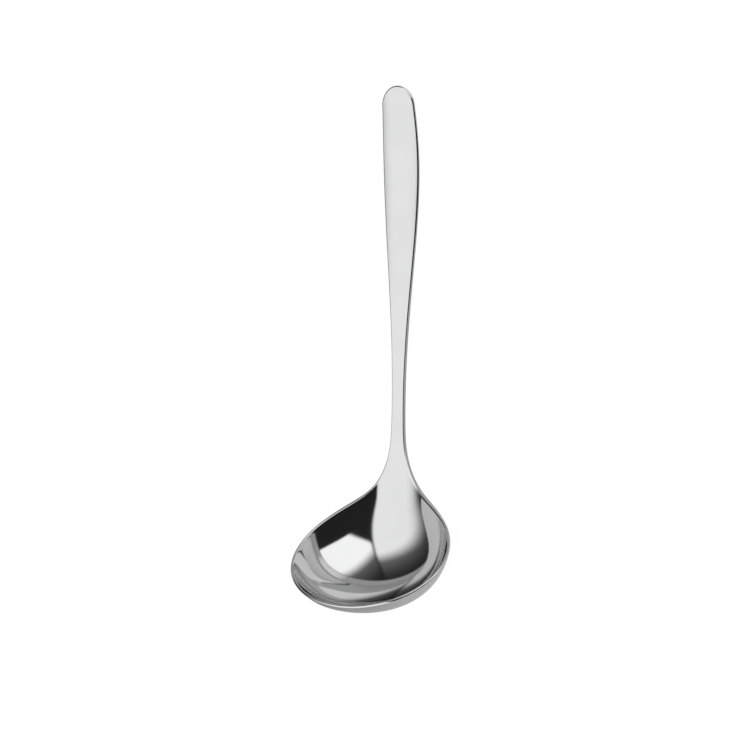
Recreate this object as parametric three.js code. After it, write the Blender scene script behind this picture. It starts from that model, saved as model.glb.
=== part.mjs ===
// Soup ladle spoon: a drawn bowl and a forged handle, butt welded at the neck.
// Millimetres, +Z up. It lies at rest, with the bowl toward -Y and the handle toward +Y.
import * as THREE from 'three';

// Bowl: its rim is a plane, and its profile runs from the front lip under the bowl to the neck
const MOUTH_WIDTH = 58; // across the inside of the rim
const FRONT_REACH = 25; // widest section to front lip
const LIP_ANGLE = 64; // slope of the wall at the front lip, degrees
const BOTTOM_RADIUS = 30.5; // profile radius of the round bottom
const BOTTOM_LENGTH = 41.5; // along the profile, front lip to end of the round bottom
const EASE_LENGTH = 35; // along the profile, round bottom to straight neck
const BOWL_WALL = 1.1;
const MOUTH_BLEND = 5; // softness of the rim's turn into the flat neck
const RIM_LIFT = 0.25; // share of the section's depth that rises close to the rim
const RIM_POWER = 8; // how close to the rim it rises
const LIFT_LENGTH = 36; // along the profile, widest section to where the section is a plain arc
const LIP_FADE_LENGTH = 3; // along the profile, front lip to where the rise is whole

// Shoulders: where the bowl narrows into the neck
const SHOULDER_LENGTH = 64; // along the profile, widest section to weld
const NECK_WIDTH = 4.2; // flat face of the neck at the weld
const NECK_FLAT_START = 27; // before the weld, where the section starts to flatten
const THICKEN_START = 60; // before the weld, where the wall starts to thicken
const THICKEN_LENGTH = 40;
// Share of the shoulder's length, and share of the way from mouth to neck width
const SHOULDER_CURVE = [[0.22, 0.14], [0.44, 0.504], [0.66, 0.839], [0.8, 0.955]];

// Handle: straight from the weld, then curled up toward its tip, with an arched upper face
const HANDLE_LENGTH = 124.35; // along the profile, weld to tip
const HANDLE_WIDTH = 13.2; // upper face at the widest place of the grip
const HANDLE_THICKNESS = 2.25; // in the middle of its width
const HANDLE_CROWN = 1.1; // drop of the grip's upper face from its middle to its edges
const CURL_LENGTH = 80;
const CURL_RADIUS = 143; // reached at the tip
const TIP_ROUND = 6.5; // length of the rounded end
const TIP_WIDTH = 11; // upper face that the rounded end closes
// Share of the handle's length, and share of the way from neck to grip width
const HANDLE_FLARE = [[0.29, 0.186], [0.8, 1]];

// Edges are half ellipses all round
const EDGE_BULGE = 0.55; // how far they stand out of the faces

const WELD_LENGTH = 1.5;

// Mesh fineness
const PROFILE_STEP = 0.25;
const ACROSS = 18;
const EDGE_STEPS = 4;
const BOWL_ROW = 3;
const HANDLE_ROW = 5;
const LIP_SPAN = 14;
const END_ROWS = 9;
const TINY = 1e-6;

// Places along the profile, from the front lip
const lipAngle = THREE.MathUtils.degToRad(LIP_ANGLE);
const bottomTurn = lipAngle - Math.asin(Math.sin(lipAngle) - FRONT_REACH / BOTTOM_RADIUS);
const WIDEST = BOTTOM_RADIUS * bottomTurn;
const WELD = WIDEST + SHOULDER_LENGTH;
const LENGTH = WELD + HANDLE_LENGTH;
const weldStart = WELD - WELD_LENGTH / 2;
const weldEnd = WELD + WELD_LENGTH / 2;
const thickenStart = WELD - THICKEN_START;

function ease(from, to, value) {
  const t = THREE.MathUtils.clamp((value - from) / (to - from), 0, 1);
  return t * t * t * (t * (6 * t - 15) + 10);
}

// Cubic spline through the points, level at the start and free at the end
function makeSpline(points) {
  const count = points.length;
  const bend = new Array(count).fill(0);
  const upper = new Array(count).fill(0);
  const gap = (i) => points[i + 1][0] - points[i][0];
  const rise = (i) => (points[i + 1][1] - points[i][1]) / gap(i);
  upper[0] = 0.5;
  bend[0] = 3 * rise(0) / gap(0);
  for (let i = 1; i < count - 1; i += 1) {
    const pivot = 2 * (gap(i - 1) + gap(i)) - gap(i - 1) * upper[i - 1];
    upper[i] = gap(i) / pivot;
    bend[i] = (6 * (rise(i) - rise(i - 1)) - gap(i - 1) * bend[i - 1]) / pivot;
  }
  bend[count - 1] = 0;
  for (let i = count - 2; i >= 0; i -= 1) {
    bend[i] -= upper[i] * bend[i + 1];
  }
  return (x) => {
    let i = 0;
    while (i < count - 2 && x > points[i + 1][0]) i += 1;
    const right = (x - points[i][0]) / gap(i);
    const left = 1 - right;
    const curve = (left ** 3 - left) * bend[i] + (right ** 3 - right) * bend[i + 1];
    return left * points[i][1] + right * points[i + 1][1] + curve * gap(i) ** 2 / 6;
  };
}

// Side profile of the upper face; y is 0 at the widest section and z is 0 at the rim
function profileCurvature(s) {
  const bottom = (1 - ease(BOTTOM_LENGTH, BOTTOM_LENGTH + EASE_LENGTH, s)) / BOTTOM_RADIUS;
  const curl = ease(LENGTH - CURL_LENGTH, LENGTH, s) / CURL_RADIUS;
  return bottom + curl;
}

function traceProfile() {
  const steps = Math.ceil(LENGTH / PROFILE_STEP);
  const stride = LENGTH / steps;
  const points = [{ y: -FRONT_REACH, z: 0, slope: -lipAngle }];
  for (let i = 0; i < steps; i += 1) {
    const last = points[i];
    const slope = last.slope + profileCurvature((i + 0.5) * stride) * stride;
    const middle = (last.slope + slope) / 2;
    points.push({ slope, y: last.y + Math.cos(middle) * stride, z: last.z + Math.sin(middle) * stride });
  }
  return points;
}

const profile = traceProfile();

function profileAt(s) {
  const place = THREE.MathUtils.clamp(s / LENGTH, 0, 1) * (profile.length - 1);
  const i = Math.min(Math.floor(place), profile.length - 2);
  const t = place - i;
  const mix = (key) => THREE.MathUtils.lerp(profile[i][key], profile[i + 1][key], t);
  return { y: mix('y'), z: mix('z'), slope: mix('slope') };
}

const mouthHalf = MOUTH_WIDTH / 2;
const neckHalf = NECK_WIDTH / 2;
const gripHalf = HANDLE_WIDTH / 2;
const sideCurve = makeSpline([
  [WIDEST, mouthHalf],
  ...SHOULDER_CURVE.map(([along, drop]) => [
    WIDEST + along * SHOULDER_LENGTH, THREE.MathUtils.lerp(mouthHalf, neckHalf, drop)]),
  [WELD, neckHalf],
  ...HANDLE_FLARE.map(([along, gain]) => [
    WELD + along * HANDLE_LENGTH, THREE.MathUtils.lerp(neckHalf, gripHalf, gain)]),
  [LENGTH, TIP_WIDTH / 2],
]);

function halfWidth(s) {
  if (s < WIDEST) {
    const reach = Math.min(1, -profileAt(s).y / FRONT_REACH);
    return mouthHalf * Math.sqrt(1 - reach * reach);
  }
  const fromTip = THREE.MathUtils.clamp((LENGTH - s) / TIP_ROUND, 0, 1);
  return sideCurve(s) * Math.sqrt(1 - (1 - fromTip) ** 2);
}

// Height of the rim over the profile: the whole depth in the bowl, nothing on the handle
function sectionDepth(s) {
  const { y, z } = profileAt(s);
  const blend = MOUTH_BLEND * ease(0, mouthHalf, y);
  const depth = (Math.hypot(z, blend) - z) / 2;
  return depth * (1 - ease(WELD - NECK_FLAT_START, weldStart, s));
}

// The bowl's sections are arcs whose ends are lifted toward the rim
function liftShare(s) {
  return RIM_LIFT * ease(0, LIP_FADE_LENGTH, s) * (1 - ease(WIDEST, WIDEST + LIFT_LENGTH, s));
}

function arcDepth(s) {
  return sectionDepth(s) * (1 - liftShare(s));
}

function insideProfile(s) {
  const nudge = PROFILE_STEP / 10;
  return THREE.MathUtils.clamp(s, nudge, LENGTH - nudge);
}

function sectionCurvature(s) {
  const depth = arcDepth(insideProfile(s));
  return 2 * depth / (halfWidth(insideProfile(s)) ** 2 + depth ** 2);
}

function rimLift(s, x) {
  const inside = insideProfile(s);
  return sectionDepth(inside) * liftShare(inside) * Math.abs(x / halfWidth(inside)) ** RIM_POWER;
}

function heightAt(s, x) {
  const bend = sectionCurvature(s);
  const arc = bend * x * x / (1 + Math.sqrt(Math.max(0, 1 - (bend * x) ** 2)));
  return profileAt(s).z + arc + rimLift(s, x);
}

function faceNormal(s, x) {
  const low = Math.max(0, s - PROFILE_STEP);
  const high = Math.min(LENGTH, s + PROFILE_STEP);
  const along = (heightAt(high, x) - heightAt(low, x)) / (profileAt(high).y - profileAt(low).y);
  const bend = sectionCurvature(s);
  const arcSlope = bend * x / Math.sqrt(Math.max(TINY, 1 - (bend * x) ** 2));
  const liftSlope = RIM_POWER * rimLift(s, x) * x / Math.max(TINY, x * x);
  return new THREE.Vector3(-arcSlope - liftSlope, -along, 1).normalize();
}

// A point of the upper face; share runs from -1 at the left edge to 1, evenly along the section's arc
function facePoint(s, share) {
  const { y, z } = profileAt(s);
  const bend = sectionCurvature(s);
  if (bend < TINY) return new THREE.Vector3(share * halfWidth(s), y, z);
  const turn = share * 2 * Math.atan2(arcDepth(s), halfWidth(s));
  const x = Math.sin(turn) / bend;
  return new THREE.Vector3(x, y, z + (1 - Math.cos(turn)) / bend + rimLift(s, x));
}

function thicknessAt(s) {
  const share = ease(thickenStart, thickenStart + THICKEN_LENGTH, s);
  return THREE.MathUtils.lerp(BOWL_WALL, HANDLE_THICKNESS, share);
}

// How far the upper face lies under its middle line; it grows as the handle widens from the neck
function crownAt(s, x) {
  if (s < WELD) return 0;
  const side = sideCurve(s);
  const widening = THREE.MathUtils.clamp((side - neckHalf) / (gripHalf - neckHalf), 0, 1);
  const fromTip = THREE.MathUtils.clamp((LENGTH - s) / TIP_ROUND, 0, 1);
  const reach = Math.hypot(x / side, 1 - fromTip);
  return HANDLE_CROWN * widening * reach ** 2;
}

function edgeThicknessAt(s) {
  return thicknessAt(s) - crownAt(s, halfWidth(s));
}

// Slope of the arched face where it meets the edge
function edgeSlope(s) {
  return 2 * crownAt(s, halfWidth(s)) / sideCurve(s);
}

// Direction in which an edge stands out of the sheet; side is -1 or 1
function outwardAt(s, side, normal) {
  const { slope } = profileAt(s);
  const onward = new THREE.Vector3(0, Math.cos(slope), Math.sin(slope));
  if (s <= 0) return onward.negate();
  if (s >= LENGTH) return onward;
  const reach = Math.min(PROFILE_STEP / 5, s / 2, (LENGTH - s) / 2);
  const tangent = facePoint(s + reach, side).sub(facePoint(s - reach, side));
  return tangent.cross(normal).multiplyScalar(side).normalize();
}

// One closed section: upper face, right edge, lower face, left edge
function sectionRing(s) {
  const thickness = thicknessAt(s);
  const upper = [];
  const lower = [];
  for (let i = 0; i <= ACROSS; i += 1) {
    const point = facePoint(s, 2 * i / ACROSS - 1);
    const normal = faceNormal(s, point.x);
    upper.push(point.clone().addScaledVector(normal, -crownAt(s, point.x)));
    lower.push(point.clone().addScaledVector(normal, -thickness));
  }
  const edge = (side) => {
    const top = upper[side < 0 ? 0 : ACROSS];
    const normal = faceNormal(s, top.x);
    const outward = outwardAt(s, side, normal);
    const points = [];
    for (let i = 1; i < EDGE_STEPS; i += 1) {
      const angle = Math.PI * i / EDGE_STEPS;
      const bulge = EDGE_BULGE * Math.sin(angle);
      const sunk = edgeThicknessAt(s) * (1 - Math.cos(angle)) / 2;
      const slid = edgeSlope(s) * bulge * (1 + Math.cos(angle)) / 2;
      points.push(top.clone().addScaledVector(normal, -sunk - slid).addScaledVector(outward, bulge));
    }
    return points;
  };
  return [...upper, ...edge(1), ...lower.reverse(), ...edge(-1).reverse()];
}

// Closed body through the sections; an end that isn't a rounded tip gets a flat cap
function sheetBody(rows) {
  const rings = rows.map(sectionRing);
  const size = rings[0].length;
  const positions = [];
  const addTriangle = (a, b, c) => {
    if (a.equals(b) || b.equals(c) || c.equals(a)) return;
    for (const point of [a, b, c]) positions.push(point.x, point.y, point.z);
  };
  const addQuad = (a, b, c, d) => {
    addTriangle(a, b, c);
    addTriangle(a, c, d);
  };
  for (let i = 0; i + 1 < rings.length; i += 1) {
    for (let j = 0; j < size; j += 1) {
      const next = (j + 1) % size;
      addQuad(rings[i][j], rings[i][next], rings[i + 1][next], rings[i + 1][j]);
    }
  }
  const addCap = (ring, forward) => {
    const at = (k) => ring[(k + size) % size];
    const below = (k) => at(2 * ACROSS + EDGE_STEPS - k);
    for (let k = -EDGE_STEPS / 2; k < ACROSS + EDGE_STEPS / 2; k += 1) {
      if (forward) addQuad(at(k), at(k + 1), below(k + 1), below(k));
      else addQuad(at(k), below(k), below(k + 1), at(k + 1));
    }
  };
  if (rows[0] > 0) addCap(rings[0], false);
  if (rows[rows.length - 1] < LENGTH) addCap(rings[rings.length - 1], true);
  const geometry = new THREE.BufferGeometry();
  geometry.setAttribute('position', new THREE.Float32BufferAttribute(positions, 3));
  geometry.computeVertexNormals();
  return geometry;
}

function evenRows(from, to, step) {
  const steps = Math.max(1, Math.round((to - from) / step));
  return Array.from({ length: steps + 1 }, (_, i) => THREE.MathUtils.lerp(from, to, i / steps));
}

// Rows that crowd toward a rounded end
function endRows(span) {
  return Array.from({ length: END_ROWS }, (_, i) => span * (i / END_ROWS) ** 2);
}

function makeMesh(name, rows, color, roughness) {
  const material = new THREE.MeshStandardMaterial({ color, roughness, metalness: 1 });
  const mesh = new THREE.Mesh(sheetBody(rows), material);
  mesh.name = name;
  return mesh;
}

const bowlRows = [...endRows(LIP_SPAN), ...evenRows(LIP_SPAN, weldStart, BOWL_ROW)];
const handleRows = [
  ...evenRows(weldEnd, LENGTH - TIP_ROUND, HANDLE_ROW),
  ...endRows(TIP_ROUND).reverse().map((span) => LENGTH - span),
];

const ladle = new THREE.Group();
ladle.add(makeMesh('bowl', bowlRows, 0xc4c6c8, 0.08));
ladle.add(makeMesh('neck_weld', [weldStart, weldEnd], 0xcfd0d1, 0.25));
ladle.add(makeMesh('handle', handleRows, 0xd6d7d8, 0.28));

// At rest the straight stretch of the handle lies level, and the middle of the base is the origin
ladle.rotation.x = lipAngle - (BOTTOM_LENGTH + EASE_LENGTH / 2) / BOTTOM_RADIUS;
ladle.updateMatrixWorld(true);
const bounds = new THREE.Box3().setFromObject(ladle, true);
const center = bounds.getCenter(new THREE.Vector3());
ladle.position.set(-center.x, -center.y, -bounds.min.z);

const part = new THREE.Group();
part.add(ladle);
export default part;
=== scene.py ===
"""Soup ladle spoon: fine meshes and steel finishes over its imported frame, in a plain white studio.

Metres, +Z up. The spoon lies at rest, with the bowl toward -Y and the handle toward +Y.
"""
import math

import bmesh
import bpy
import numpy as np
from mathutils import Matrix, Vector


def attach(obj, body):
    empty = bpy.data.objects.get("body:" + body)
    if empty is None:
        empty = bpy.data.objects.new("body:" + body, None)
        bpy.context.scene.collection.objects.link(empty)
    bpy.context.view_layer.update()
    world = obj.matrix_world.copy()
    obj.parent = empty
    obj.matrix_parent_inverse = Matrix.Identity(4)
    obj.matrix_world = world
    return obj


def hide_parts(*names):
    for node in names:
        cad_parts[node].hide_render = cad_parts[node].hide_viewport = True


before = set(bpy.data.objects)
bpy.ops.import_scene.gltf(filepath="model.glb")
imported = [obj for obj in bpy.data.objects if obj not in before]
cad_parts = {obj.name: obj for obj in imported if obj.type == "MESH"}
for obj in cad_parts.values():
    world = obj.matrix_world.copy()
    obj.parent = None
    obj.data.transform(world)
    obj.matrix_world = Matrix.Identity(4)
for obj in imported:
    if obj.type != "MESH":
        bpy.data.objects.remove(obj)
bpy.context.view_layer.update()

# Bowl: its rim is a plane, and its profile runs from the front lip under the bowl to the neck
MOUTH_WIDTH = 0.058
FRONT_REACH = 0.025
LIP_ANGLE = math.radians(64)
BOTTOM_RADIUS = 0.0305
BOTTOM_LENGTH = 0.0415
EASE_LENGTH = 0.035
BOWL_WALL = 0.0011
MOUTH_BLEND = 0.005
# Share of a section's depth that rises close to the rim, how close, and where it fades out at both ends
RIM_LIFT = 0.25
RIM_POWER = 8
LIFT_LENGTH = 0.036
LIP_FADE_LENGTH = 0.003

# Shoulders: where the bowl narrows into the neck
SHOULDER_LENGTH = 0.064
NECK_WIDTH = 0.0042
NECK_FLAT_START = 0.027
THICKEN_START = 0.060
THICKEN_LENGTH = 0.040
# Share of the shoulder's length, and share of the way from mouth to neck width
SHOULDER_CURVE = [(0.22, 0.14), (0.44, 0.504), (0.66, 0.839), (0.8, 0.955)]

# Handle: straight from the weld, then curled up toward its tip, with an arched upper face
HANDLE_LENGTH = 0.12435
HANDLE_WIDTH = 0.0132
HANDLE_THICKNESS = 0.00225
HANDLE_CROWN = 0.0011
CURL_LENGTH = 0.080
CURL_RADIUS = 0.143
TIP_ROUND = 0.0065
TIP_WIDTH = 0.011
# Share of the handle's length, and share of the way from neck to grip width
HANDLE_FLARE = [(0.29, 0.186), (0.8, 1)]

# Edges are half ellipses all round, and stand out of the faces by this much
EDGE_BULGE = 0.00055

WELD_LENGTH = 0.0015

# Mesh fineness
PROFILE_STEPS = 22000
SLOPE_STEP = 0.00005
ACROSS = 96
EDGE_STEPS = 14
BOWL_ROW = 0.0005
HANDLE_ROW = 0.001
WELD_ROW = 0.0003
LIP_SPAN = 0.014
END_ROWS = 60
TINY = 1e-9
FLAT_BEND = 1e-6
MERGE_DISTANCE = 1e-7

# Camera: where it looks, from which side, its turn about its own axis and the width that it sees there
CAMERA_TARGET = Vector((-0.00586, -0.01047, 0.010))
CAMERA_AZIMUTH = math.radians(85.43)
CAMERA_ELEVATION = math.radians(66.46)
CAMERA_ROLL = math.radians(-84.99)
CAMERA_DISTANCE = 1.0
SENSOR_WIDTH_MM = 36
VIEW_WIDTH = 0.27569

# Steel: mirror polish in the bowl, a softer polish on the handle; places are along Y
STEEL_DARK = (0.53, 0.53, 0.535, 1)
STEEL_LIGHT = (0.59, 0.59, 0.59, 1)
SOFT_FROM = -0.046
SOFT_TO = -0.026
MIRROR_ROUGHNESS = 0.07
SOFT_ROUGHNESS = 0.15
ROUGHNESS_SPREAD = 0.35
# Fine lengthwise polishing marks, cloudy changes of tone, and a faint ripple
MARK_SCALE = 2600
MARK_DETAIL = 3
MARK_STRETCH = (1, 0.025, 1)
MARK_DEPTH = 0.0000004
CLOUD_SCALE = 90
CLOUD_DETAIL = 2
CLOUD_STRETCH = (1, 1, 1)
RIPPLE_SCALE = 140
RIPPLE_DETAIL = 1
RIPPLE_STRETCH = (1, 0.6, 1)
RIPPLE_DEPTH = 0.000006

# Studio light by direction: angle from straight up and turn from +X toward +Y, in degrees
# Each light is its power, cut by straight edges: the direction of an edge's inner side, and the angles
# over it where the light starts and is full
OVERHEAD_TOP = (42.5, 289)
OVERHEAD_SIDES = [((76.4, 199.9), -2.5, 2.5), ((73, 205.3), -1.4, 3.1), ((22, 0), -28, 28)]
PANEL_END = (77.6, -13.3)
PANEL_SIDES = [
    ((80.5, 113.4), -2, 2),
    ((115.4, 66), -2.5, 2.5),
    ((9, 250), -2, 2),
    ((107, 25.3), -1.4, 3.1),
]
STUDIO_LIGHTS = [
    (1.12, [(OVERHEAD_TOP, -9, 11)] + OVERHEAD_SIDES),
    (0.21, [(OVERHEAD_TOP, -55, 11)] + OVERHEAD_SIDES),
    (1.34, [(PANEL_END, -6, 11)] + PANEL_SIDES),
    (0.21, [(PANEL_END, -32, 10)] + PANEL_SIDES),
]
# What lies below the horizon, with a brighter part
SURROUNDS = [
    (0.48, [((171, 70), -2, 2)]),
    (0.98, [((171, 70), -2, 2), ((85, 55), 55, 80)]),
]
DARK_POWER = 0.023

# Floor: white to the camera; near the spoon it also glows in reflections, more toward +X
FLOOR_SIZE = 4
FLOOR_GAP = 0.0001
FLOOR_COLOR = (0.42, 0.42, 0.42, 1)
FLOOR_GLOW = 0.88
FLOOR_WHITE = 1.1
NEAR_GLOW = 0.48
NEAR_FROM = 0.13
NEAR_TO = 0.35
GLOW_FROM = -0.06
GLOW_TO = 0.06

# Places along the profile, from the front lip
WIDEST = BOTTOM_RADIUS * (LIP_ANGLE - math.asin(math.sin(LIP_ANGLE) - FRONT_REACH / BOTTOM_RADIUS))
WELD = WIDEST + SHOULDER_LENGTH
LENGTH = WELD + HANDLE_LENGTH
WELD_FROM = WELD - WELD_LENGTH / 2
WELD_TO = WELD + WELD_LENGTH / 2
THICKEN_FROM = WELD - THICKEN_START
LEAN = LIP_ANGLE - (BOTTOM_LENGTH + EASE_LENGTH / 2) / BOTTOM_RADIUS


def ease(start, end, value):
    t = np.clip((value - start) / (end - start), 0, 1)
    return t ** 3 * (t * (6 * t - 15) + 10)


def lerp(low, high, share):
    return low + (high - low) * share


def make_spline(points):
    """Cubic spline through the points, level at the start and free at the end."""
    x, y = np.array(points, dtype=float).T
    gap = np.diff(x)
    rise = np.diff(y) / gap
    count = len(x)
    system = np.zeros((count, count))
    right = np.zeros(count)
    system[0, :2] = (2 * gap[0], gap[0])
    right[0] = 6 * rise[0]
    for i in range(1, count - 1):
        system[i, i - 1:i + 2] = (gap[i - 1], 2 * (gap[i - 1] + gap[i]), gap[i])
        right[i] = 6 * (rise[i] - rise[i - 1])
    system[-1, -1] = 1
    bend = np.linalg.solve(system, right)

    def curve(value):
        i = np.clip(np.searchsorted(x, value) - 1, 0, count - 2)
        after = (value - x[i]) / gap[i]
        before = 1 - after
        sway = (before ** 3 - before) * bend[i] + (after ** 3 - after) * bend[i + 1]
        return before * y[i] + after * y[i + 1] + sway * gap[i] ** 2 / 6

    return curve


def profile_curvature(s):
    bottom = (1 - ease(BOTTOM_LENGTH, BOTTOM_LENGTH + EASE_LENGTH, s)) / BOTTOM_RADIUS
    curl = ease(LENGTH - CURL_LENGTH, LENGTH, s) / CURL_RADIUS
    return bottom + curl


def trace_profile():
    """Side profile of the upper face; y is 0 at the widest section and z is 0 at the rim."""
    stations = np.linspace(0, LENGTH, PROFILE_STEPS + 1)
    stride = LENGTH / PROFILE_STEPS
    turns = profile_curvature(stations[:-1] + stride / 2) * stride
    slope = np.concatenate(([0], np.cumsum(turns))) - LIP_ANGLE
    middle = (slope[:-1] + slope[1:]) / 2
    y = np.concatenate(([0], np.cumsum(np.cos(middle) * stride))) - FRONT_REACH
    z = np.concatenate(([0], np.cumsum(np.sin(middle) * stride)))
    return stations, y, z, slope


stations, profile_y, profile_z, profile_slope = trace_profile()
mouth_half = MOUTH_WIDTH / 2
neck_half = NECK_WIDTH / 2
grip_half = HANDLE_WIDTH / 2
side_curve = make_spline(
    [(WIDEST, mouth_half)]
    + [(WIDEST + a * SHOULDER_LENGTH, lerp(mouth_half, neck_half, drop)) for a, drop in SHOULDER_CURVE]
    + [(WELD, neck_half)]
    + [(WELD + a * HANDLE_LENGTH, lerp(neck_half, grip_half, gain)) for a, gain in HANDLE_FLARE]
    + [(LENGTH, TIP_WIDTH / 2)]
)


def y_at(s):
    return np.interp(s, stations, profile_y)


def z_at(s):
    return np.interp(s, stations, profile_z)


def half_width(s):
    reach = np.clip(-y_at(s) / FRONT_REACH, 0, 1)
    from_tip = np.clip((LENGTH - s) / TIP_ROUND, 0, 1)
    front = mouth_half * np.sqrt(1 - reach ** 2)
    back = side_curve(np.clip(s, WIDEST, LENGTH)) * np.sqrt(1 - (1 - from_tip) ** 2)
    return np.where(s < WIDEST, front, back)


def section_depth(s):
    """Height of the rim over the profile: the whole depth in the bowl, nothing on the flat handle."""
    z = z_at(s)
    blend = MOUTH_BLEND * ease(0, mouth_half, y_at(s))
    depth = (np.hypot(z, blend) - z) / 2
    return depth * (1 - ease(WELD - NECK_FLAT_START, WELD_FROM, s))


def lift_share(s):
    return RIM_LIFT * ease(0, LIP_FADE_LENGTH, s) * (1 - ease(WIDEST, WIDEST + LIFT_LENGTH, s))


def arc_depth(s):
    return section_depth(s) * (1 - lift_share(s))


def section_curvature(s):
    inside = np.clip(s, SLOPE_STEP, LENGTH - SLOPE_STEP)
    depth = arc_depth(inside)
    return 2 * depth / (half_width(inside) ** 2 + depth ** 2)


def rim_lift(s, x):
    """How far the wall rises over the section's arc, mostly close to the rim."""
    inside = np.clip(s, SLOPE_STEP, LENGTH - SLOPE_STEP)
    return section_depth(inside) * lift_share(inside) * np.abs(x / half_width(inside)) ** RIM_POWER


def height_at(s, x):
    bend = section_curvature(s)
    arc = bend * x ** 2 / (1 + np.sqrt(np.clip(1 - (bend * x) ** 2, 0, 1)))
    return z_at(s) + arc + rim_lift(s, x)


def unit(vectors):
    return vectors / np.linalg.norm(vectors, axis=-1, keepdims=True)


def face_normals(s, x):
    low = np.clip(s - SLOPE_STEP, 0, LENGTH)
    high = np.clip(s + SLOPE_STEP, 0, LENGTH)
    along = (height_at(high, x) - height_at(low, x)) / (y_at(high) - y_at(low))
    bend = section_curvature(s)
    across = bend * x / np.sqrt(np.clip(1 - (bend * x) ** 2, TINY, 1))
    across = across + RIM_POWER * rim_lift(s, x) * x / np.maximum(x ** 2, TINY)
    return unit(np.stack((-across, -along, np.ones_like(across)), axis=-1))


def face_points(s, share):
    """Points of the upper face; share runs along the section's arc, from -1 at the left edge to 1."""
    bend = np.maximum(section_curvature(s), TINY)
    turn = share * 2 * np.arctan2(arc_depth(s), half_width(s))
    curved = bend > FLAT_BEND
    x = np.where(curved, np.sin(turn) / bend, share * half_width(s))
    rise = np.where(curved, (1 - np.cos(turn)) / bend, 0)
    y = np.broadcast_to(y_at(s), x.shape)
    return np.stack((x, y, z_at(s) + rise + rim_lift(s, x)), axis=-1)


def thickness_at(s):
    return lerp(BOWL_WALL, HANDLE_THICKNESS, ease(THICKEN_FROM, THICKEN_FROM + THICKEN_LENGTH, s))


def crown_at(s, x):
    """How far the upper face lies under its middle line; it grows as the handle widens from the neck."""
    side = side_curve(np.clip(s, WELD, LENGTH))
    widening = np.clip((side - neck_half) / (grip_half - neck_half), 0, 1)
    from_tip = np.clip((LENGTH - s) / TIP_ROUND, 0, 1)
    reach = np.hypot(x / side, 1 - from_tip)
    return np.where(s < WELD, 0, HANDLE_CROWN * widening * reach ** 2)


def edge_thickness_at(s):
    return thickness_at(s) - crown_at(s, half_width(s))


def edge_slope(s):
    """Slope of the arched face where it meets the edge."""
    return 2 * crown_at(s, half_width(s)) / side_curve(np.clip(s, WELD, LENGTH))


def edge_points(s, side, top, normal):
    """The round edge on one side, from just under the upper face to just over the lower one."""
    slope = np.interp(s, stations, profile_slope)
    onward = np.concatenate((np.zeros_like(s), np.cos(slope), np.sin(slope)), axis=1)
    tangent = face_points(s + SLOPE_STEP, side) - face_points(s - SLOPE_STEP, side)
    outward = unit(np.cross(tangent[:, 0], normal)) * side
    outward = np.where(s <= 0, -onward, np.where(s >= LENGTH, onward, outward))[:, None]
    angle = (math.pi * np.arange(1, EDGE_STEPS) / EDGE_STEPS)[None, :, None]
    bulge = EDGE_BULGE * np.sin(angle)
    sunk = edge_thickness_at(s)[:, None] * (1 - np.cos(angle)) / 2
    sunk = sunk + edge_slope(s)[:, None] * bulge * (1 + np.cos(angle)) / 2
    return top[:, None] - normal[:, None] * sunk + outward * bulge


def section_rings(rows):
    """One closed section for each row: upper face, right edge, lower face, left edge."""
    s = rows[:, None]
    face = face_points(s, np.linspace(-1, 1, ACROSS + 1)[None])
    normal = face_normals(s, face[..., 0])
    upper = face - normal * crown_at(s, face[..., 0])[..., None]
    lower = face - normal * thickness_at(s)[..., None]
    right = edge_points(s, 1, upper[:, -1], normal[:, -1])
    left = edge_points(s, -1, upper[:, 0], normal[:, 0])
    return np.concatenate((upper, right, lower[:, ::-1], left[:, ::-1]), axis=1)


def even_rows(start, end, step):
    return np.linspace(start, end, round((end - start) / step) + 1)


def end_rows(span):
    """Rows that crowd toward a rounded end."""
    return span * (np.arange(END_ROWS) / END_ROWS) ** 2


def lean(points):
    """Turns the rim plane's frame until the straight stretch of the handle is level."""
    x, y, z = np.moveaxis(points, -1, 0)
    sin_lean = math.sin(LEAN)
    cos_lean = math.cos(LEAN)
    return np.stack((x, y * cos_lean - z * sin_lean, y * sin_lean + z * cos_lean), axis=-1)


def sheet_piece(name, rows, shift):
    """A closed mesh through the sections; an end that isn't a rounded tip gets a flat cap."""
    rings = lean(section_rings(rows)) + shift
    count, size = rings.shape[:2]
    index = np.arange(count * size).reshape(count, size)
    following = np.roll(index, -1, axis=1)
    quads = np.stack((index[:-1], following[:-1], following[1:], index[1:]), axis=-1)
    faces = quads.reshape(-1, 4).tolist()
    caps = []
    if rows[0] > 0:
        caps.append(index[0, ::-1].tolist())
    if rows[-1] < LENGTH:
        caps.append(index[-1].tolist())
    mesh = bpy.data.meshes.new(name)
    mesh.from_pydata(rings.reshape(-1, 3).tolist(), [], faces + caps)
    work = bmesh.new()
    work.from_mesh(mesh)
    work.faces.ensure_lookup_table()
    for face in work.faces:
        face.smooth = True
    for face in work.faces[len(faces):]:
        for edge in face.edges:
            edge.smooth = False
    bmesh.ops.remove_doubles(work, verts=work.verts, dist=MERGE_DISTANCE)
    work.to_mesh(mesh)
    work.free()
    piece = bpy.data.objects.new(name, mesh)
    bpy.context.scene.collection.objects.link(piece)
    return piece


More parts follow.
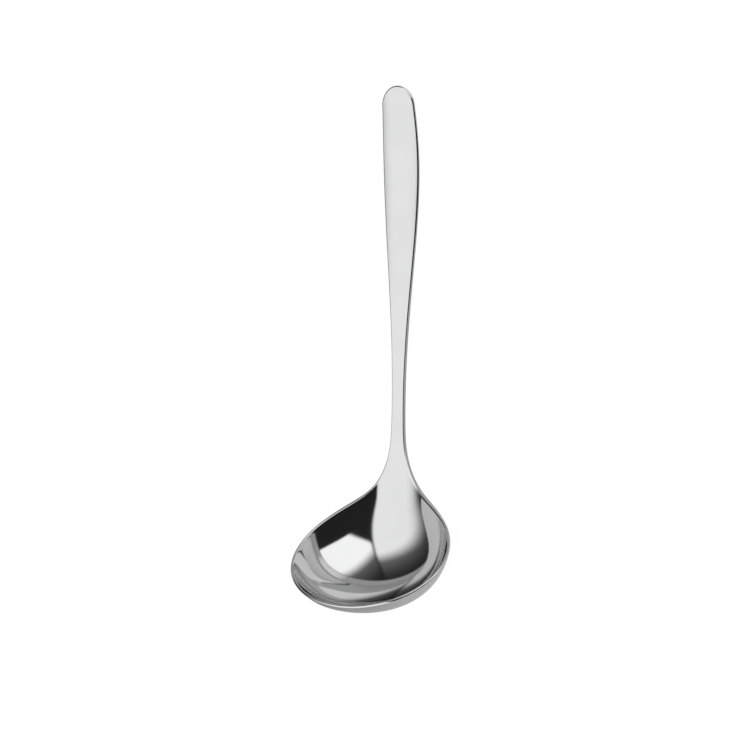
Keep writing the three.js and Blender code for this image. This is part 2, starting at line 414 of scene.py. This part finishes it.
def make_spoon():
    bowl_rows = np.concatenate((end_rows(LIP_SPAN), even_rows(LIP_SPAN, WELD_FROM, BOWL_ROW)))
    weld_rows = even_rows(WELD_FROM, WELD_TO, WELD_ROW)
    tip_rows = (LENGTH - end_rows(TIP_ROUND))[::-1]
    handle_rows = np.concatenate((even_rows(WELD_TO, LENGTH - TIP_ROUND, HANDLE_ROW), tip_rows))
    whole = lean(section_rings(np.concatenate((bowl_rows, handle_rows)))).reshape(-1, 3)
    low, high = whole.min(axis=0), whole.max(axis=0)
    shift = np.array((-(low[0] + high[0]) / 2, -(low[1] + high[1]) / 2, -low[2]))
    pieces = {}
    for node, rows in (("bowl", bowl_rows), ("neck_weld", weld_rows), ("handle", handle_rows)):
        piece = sheet_piece("polished_" + node, rows, shift)
        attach(piece, "root")
        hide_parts(node)
        pieces[node] = piece
    return pieces


def feed(tree, socket, value):
    """Links an output to the socket, or sets its value."""
    if isinstance(value, bpy.types.NodeSocket):
        tree.links.new(value, socket)
    else:
        socket.default_value = value


def add_node(tree, kind, **inputs):
    """A node of this kind; inputs are values or outputs, by name or as In_2 for the third input."""
    node = tree.nodes.new(kind)
    for name, value in inputs.items():
        key = int(name.removeprefix("In_")) if name.startswith("In_") else name
        feed(tree, node.inputs[key], value)
    return node


def math_node(tree, operation, *values):
    node = tree.nodes.new("ShaderNodeMath")
    node.operation = operation
    for socket, value in zip(node.inputs, values):
        feed(tree, socket, value)
    return node.outputs[0]


def fade_node(tree, value, low, high, to_low=0.0, to_high=1.0):
    """Smooth step from to_low to to_high as the value goes from low to high."""
    node = add_node(tree, "ShaderNodeMapRange", In_0=value, In_1=low, In_2=high, In_3=to_low, In_4=to_high)
    node.interpolation_type = "SMOOTHSTEP"
    return node.outputs[0]


def noise_node(tree, place, stretch, scale, detail):
    """Noise in object coordinates, stretched along the three axes."""
    mapping = add_node(tree, "ShaderNodeMapping", Vector=place, Scale=stretch)
    noise = add_node(tree, "ShaderNodeTexNoise", Vector=mapping.outputs[0], Scale=scale, Detail=detail)
    return noise.outputs["Fac"]


def make_steel(name):
    """Mirror polish that softens along the neck, with fine lengthwise marks and a faint ripple."""
    material = bpy.data.materials.new(name)
    material.use_nodes = True
    tree = material.node_tree
    shader = tree.nodes["Principled BSDF"]
    shader.inputs["Metallic"].default_value = 1
    place = tree.nodes.new("ShaderNodeTexCoord").outputs["Object"]
    along = add_node(tree, "ShaderNodeSeparateXYZ", Vector=place).outputs["Y"]
    soft = fade_node(tree, along, SOFT_FROM, SOFT_TO)
    marks = noise_node(tree, place, MARK_STRETCH, MARK_SCALE, MARK_DETAIL)
    cloud = noise_node(tree, place, CLOUD_STRETCH, CLOUD_SCALE, CLOUD_DETAIL)
    ripple = noise_node(tree, place, RIPPLE_STRETCH, RIPPLE_SCALE, RIPPLE_DETAIL)

    tint = add_node(tree, "ShaderNodeMixRGB", Fac=cloud, Color1=STEEL_DARK, Color2=STEEL_LIGHT)
    tree.links.new(tint.outputs["Color"], shader.inputs["Base Color"])

    even = fade_node(tree, soft, 0, 1, MIRROR_ROUGHNESS, SOFT_ROUGHNESS)
    uneven = math_node(tree, "MULTIPLY_ADD", marks, ROUGHNESS_SPREAD, 1 - ROUGHNESS_SPREAD / 2)
    tree.links.new(math_node(tree, "MULTIPLY", even, uneven), shader.inputs["Roughness"])

    wave = add_node(tree, "ShaderNodeBump", Height=ripple, Strength=1.0, Distance=RIPPLE_DEPTH)
    scratch = add_node(tree, "ShaderNodeBump", Height=marks, Strength=1.0, Distance=MARK_DEPTH)
    tree.links.new(wave.outputs["Normal"], scratch.inputs["Normal"])
    tree.links.new(scratch.outputs["Normal"], shader.inputs["Normal"])
    return material


def direction(angles):
    """Unit vector for an angle from straight up and a turn from +X toward +Y, in degrees."""
    down, turn = (math.radians(angle) for angle in angles)
    return math.sin(down) * math.cos(turn), math.sin(down) * math.sin(turn), math.cos(down)


def sine(degrees):
    return math.sin(math.radians(degrees))


def make_studio():
    """A world that is white behind the spoon and holds a big overhead light and a side panel."""
    world = bpy.data.worlds.new("studio")
    bpy.context.scene.world = world
    world.use_nodes = True
    tree = world.node_tree
    toward = tree.nodes.new("ShaderNodeTexCoord").outputs["Generated"]

    def shine(power, edges):
        light = power
        for angles, start, full in edges:
            facing = add_node(tree, "ShaderNodeVectorMath", In_0=toward, In_1=direction(angles))
            facing.operation = "DOT_PRODUCT"
            share = fade_node(tree, facing.outputs["Value"], sine(start), sine(full))
            light = math_node(tree, "MULTIPLY", share, light)
        return light

    strength = DARK_POWER
    for power, edges in STUDIO_LIGHTS:
        strength = math_node(tree, "ADD", shine(power, edges), strength)
    for power, edges in SURROUNDS:
        strength = math_node(tree, "MAXIMUM", strength, shine(power, edges))
    seen = tree.nodes.new("ShaderNodeLightPath").outputs["Is Camera Ray"]
    background = tree.nodes["Background"]
    background.inputs["Color"].default_value = (1, 1, 1, 1)
    tree.links.new(math_node(tree, "MAXIMUM", strength, seen), background.inputs["Strength"])


def make_floor():
    bpy.ops.mesh.primitive_plane_add(size=FLOOR_SIZE, location=(0, 0, -FLOOR_GAP))
    floor = bpy.context.object
    floor.name = "floor"
    material = bpy.data.materials.new("floor_paper")
    material.use_nodes = True
    tree = material.node_tree
    shader = tree.nodes["Principled BSDF"]
    shader.inputs["Base Color"].default_value = FLOOR_COLOR
    shader.inputs["Roughness"].default_value = 1
    shader.inputs["Specular IOR Level"].default_value = 0
    glow = add_node(tree, "ShaderNodeEmission", Color=(1, 1, 1, 1), Strength=FLOOR_WHITE)
    seen = tree.nodes.new("ShaderNodeLightPath").outputs["Is Camera Ray"]
    place = tree.nodes.new("ShaderNodeTexCoord").outputs["Object"]
    away = add_node(tree, "ShaderNodeVectorMath", In_0=place)
    away.operation = "LENGTH"
    near = fade_node(tree, away.outputs["Value"], NEAR_FROM, NEAR_TO, NEAR_GLOW, 0)
    across = add_node(tree, "ShaderNodeSeparateXYZ", Vector=place).outputs["X"]
    near = math_node(tree, "MULTIPLY", near, fade_node(tree, across, GLOW_FROM, GLOW_TO))
    share = math_node(tree, "MAXIMUM", math_node(tree, "MULTIPLY", seen, FLOOR_GLOW), near)
    paper = add_node(tree, "ShaderNodeMixShader", In_0=share, In_1=shader.outputs[0], In_2=glow.outputs[0])
    tree.links.new(paper.outputs[0], tree.nodes["Material Output"].inputs["Surface"])
    floor.data.materials.append(material)


def make_camera():
    sin_a = math.sin(CAMERA_AZIMUTH)
    cos_a = math.cos(CAMERA_AZIMUTH)
    level = math.cos(CAMERA_ELEVATION)
    back = Vector((level * sin_a, -level * cos_a, math.sin(CAMERA_ELEVATION)))
    right = Vector((cos_a, sin_a, 0))
    turned = right * math.cos(CAMERA_ROLL) + back.cross(right) * math.sin(CAMERA_ROLL)
    up = back.cross(turned)
    data = bpy.data.cameras.new("camera")
    data.sensor_width = SENSOR_WIDTH_MM
    data.lens = SENSOR_WIDTH_MM * CAMERA_DISTANCE / VIEW_WIDTH
    camera = bpy.data.objects.new("camera", data)
    bpy.context.scene.collection.objects.link(camera)
    axes = Matrix((turned, up, back)).transposed().to_4x4()
    camera.matrix_world = Matrix.Translation(CAMERA_TARGET + back * CAMERA_DISTANCE) @ axes
    bpy.context.scene.camera = camera


SLOTS = {"bowl": "bowl_steel", "neck_weld": "weld_steel", "handle": "handle_steel"}

spoon = make_spoon()
for node, slot in SLOTS.items():
    spoon[node].data.materials.append(make_steel("polished_" + slot))
make_camera()
make_floor()
make_studio()
bpy.context.scene.view_settings.view_transform = "Standard"
